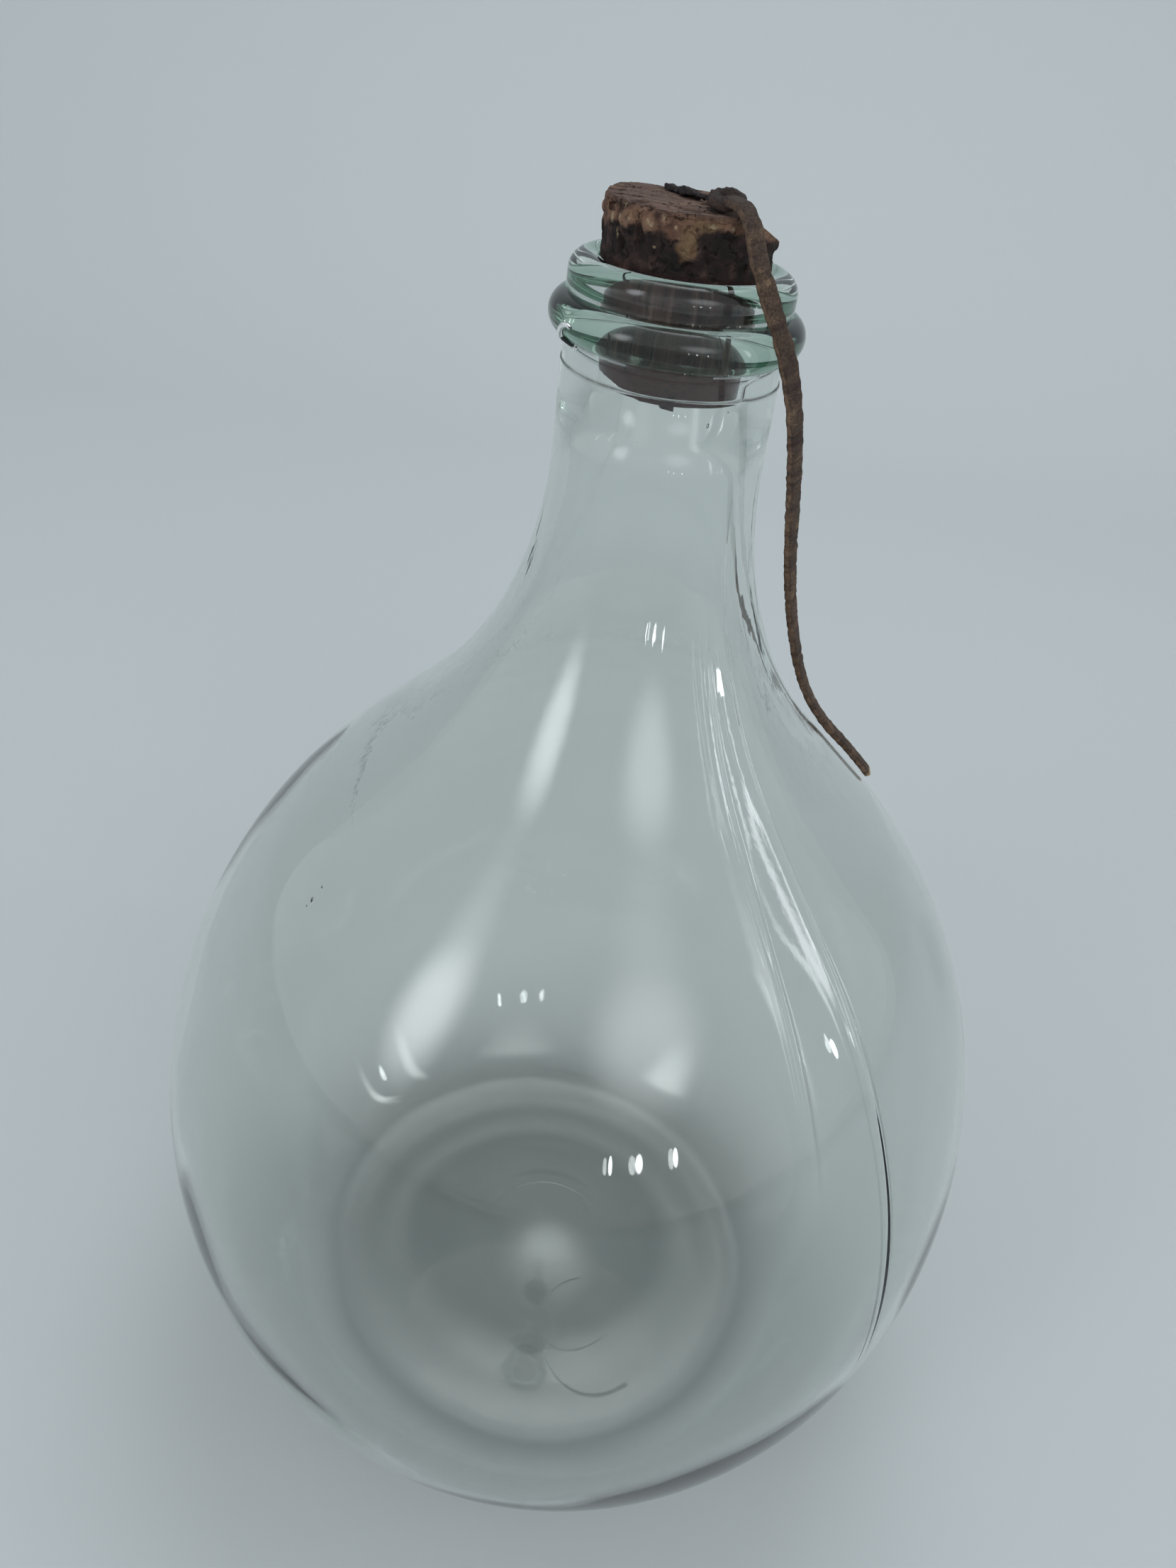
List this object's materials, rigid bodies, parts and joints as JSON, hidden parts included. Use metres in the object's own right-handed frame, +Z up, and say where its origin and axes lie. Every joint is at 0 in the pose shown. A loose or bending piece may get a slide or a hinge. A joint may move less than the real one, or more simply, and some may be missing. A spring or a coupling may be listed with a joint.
{
  "type": "glass demijohn",
  "caption": "Round-bodied pale green glass demijohn with a long tapering neck, a green string ring and a hand-cut cork on a leather thong.",
  "frame": {"origin": "middle of the base, on the plane the demijohn stands on", "axes": "+Z up along the bottle's axis through the cork; -Y is the front, and the thong hangs on the +X side"},
  "size_m": [0.2599, 0.26, 0.389],
  "materials": {
    "clear_glass": "clear, pale green, polished by fire",
    "green_glass": "thicker pale green glass, glossy",
    "cork": "old stained cork, rough, with cracks and pits",
    "leather": "brown leather lace, matt, finely wrinkled"
  },
  "bodies": {
    "bottle": {"glass_bottle": "clear_glass", "string_ring": "green_glass"},
    "stopper": {"cork_stopper": "cork", "thong_knot": "leather", "thong": "leather", "thong_tail": "leather"}
  },
  "joints": [
    {"name": "cork_lift", "type": "slide", "parent": "bottle", "child": "stopper", "axis": [0, 0, 1], "range_m": [0, 0.16]}
  ]
}
